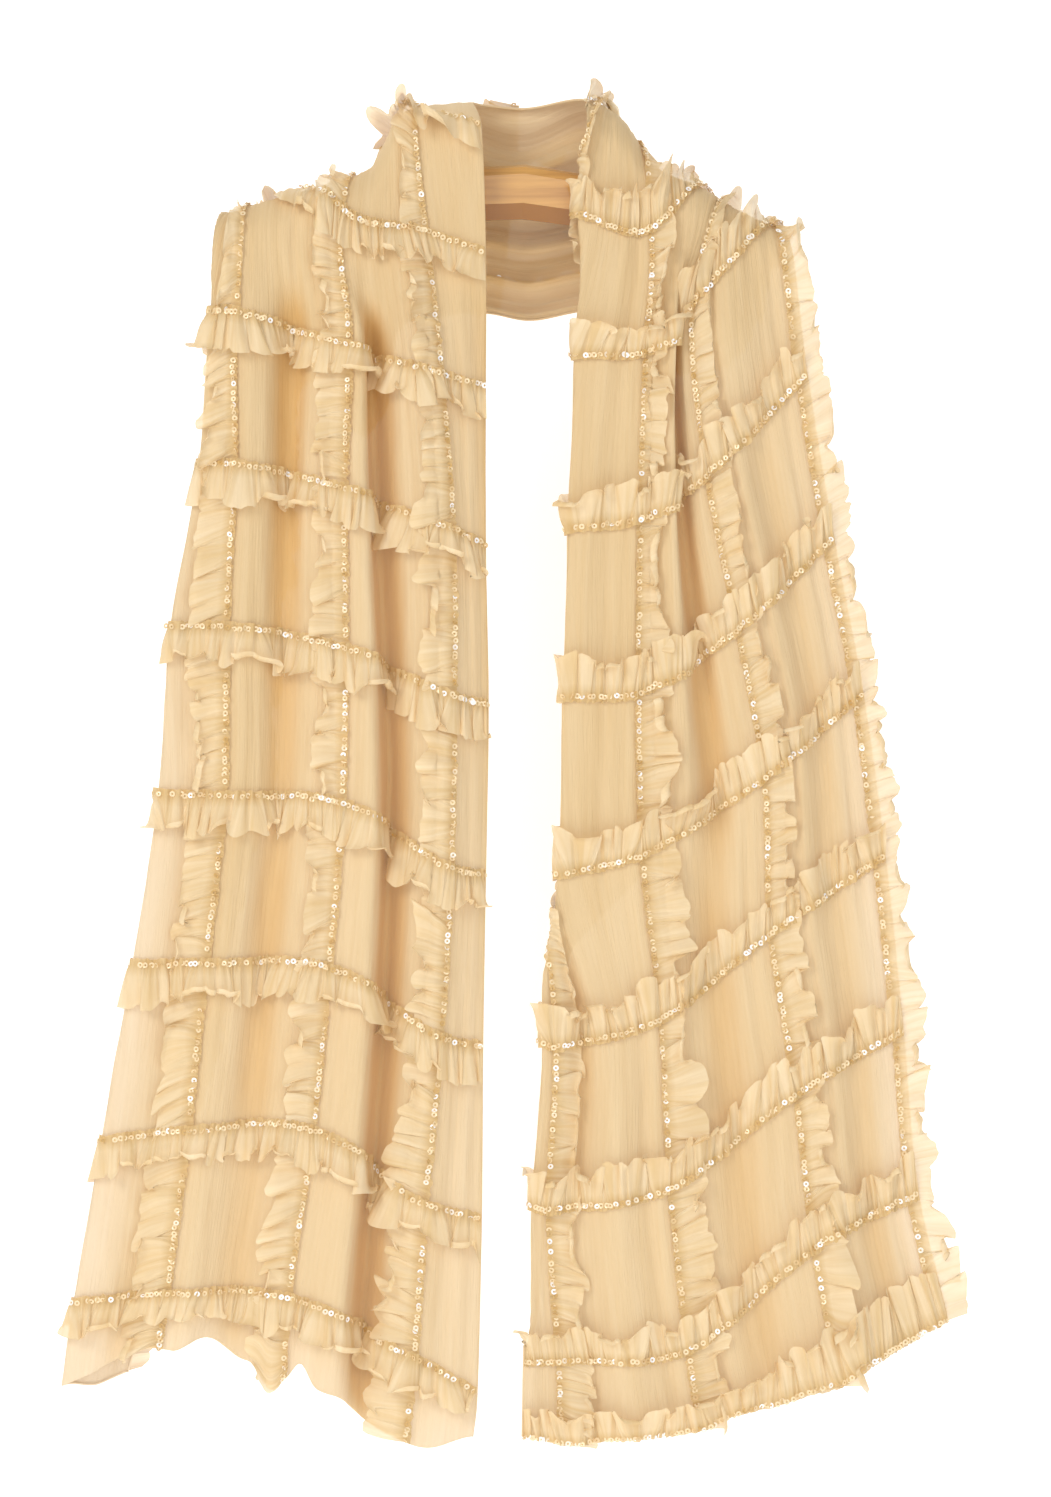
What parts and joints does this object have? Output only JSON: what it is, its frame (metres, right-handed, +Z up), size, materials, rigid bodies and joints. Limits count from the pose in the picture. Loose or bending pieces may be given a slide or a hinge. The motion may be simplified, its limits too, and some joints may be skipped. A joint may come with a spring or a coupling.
{
  "type": "evening stole on a wooden hanger",
  "caption": "Long crinkled chiffon stole with a grid of gathered, sequinned ruffles, hung round a wooden hanger's bar with both ends down in front.",
  "frame": {"origin": "mouth of the hook's bore in the top of the hanger's bar", "axes": "+Z up along the bore, +X to the viewer's right, and the stole's front faces -Y"},
  "size_m": [0.6506, 0.1052, 0.9662],
  "materials": {
    "cloth": "crinkled sheer chiffon, pale champagne gold",
    "ruffle": "gathered sheer chiffon with raw edges, pale champagne gold",
    "wood": "clear varnish"
  },
  "bodies": {
    "root": {"hanger": "wood", "ruffle_cross_left_1": "ruffle", "ruffle_cross_left_2": "ruffle", "ruffle_cross_left_3": "ruffle", "ruffle_cross_left_4": "ruffle", "ruffle_cross_left_5": "ruffle", "ruffle_cross_left_6": "ruffle", "ruffle_cross_left_7": "ruffle", "ruffle_cross_left_8": "ruffle", "ruffle_cross_neck_1": "ruffle", "ruffle_cross_neck_2": "ruffle", "ruffle_cross_neck_3": "ruffle", "ruffle_cross_right_1": "ruffle", "ruffle_cross_right_2": "ruffle", "ruffle_cross_right_3": "ruffle", "ruffle_cross_right_4": "ruffle", "ruffle_cross_right_5": "ruffle", "ruffle_cross_right_6": "ruffle", "ruffle_cross_right_7": "ruffle", "ruffle_cross_right_8": "ruffle", "ruffle_hem_right": "ruffle", "ruffle_long_1_left": "ruffle", "ruffle_long_1_neck": "ruffle", "ruffle_long_1_right": "ruffle", "ruffle_long_2_left": "ruffle", "ruffle_long_2_neck": "ruffle", "ruffle_long_2_right": "ruffle", "ruffle_long_3_left": "ruffle", "ruffle_long_3_neck": "ruffle", "ruffle_long_3_right": "ruffle", "ruffle_long_4_left": "ruffle", "ruffle_long_4_neck": "ruffle", "ruffle_long_4_right": "ruffle", "stole_left_front": "cloth", "stole_neck": "cloth", "stole_right_front": "cloth"}
  },
  "joints": []
}
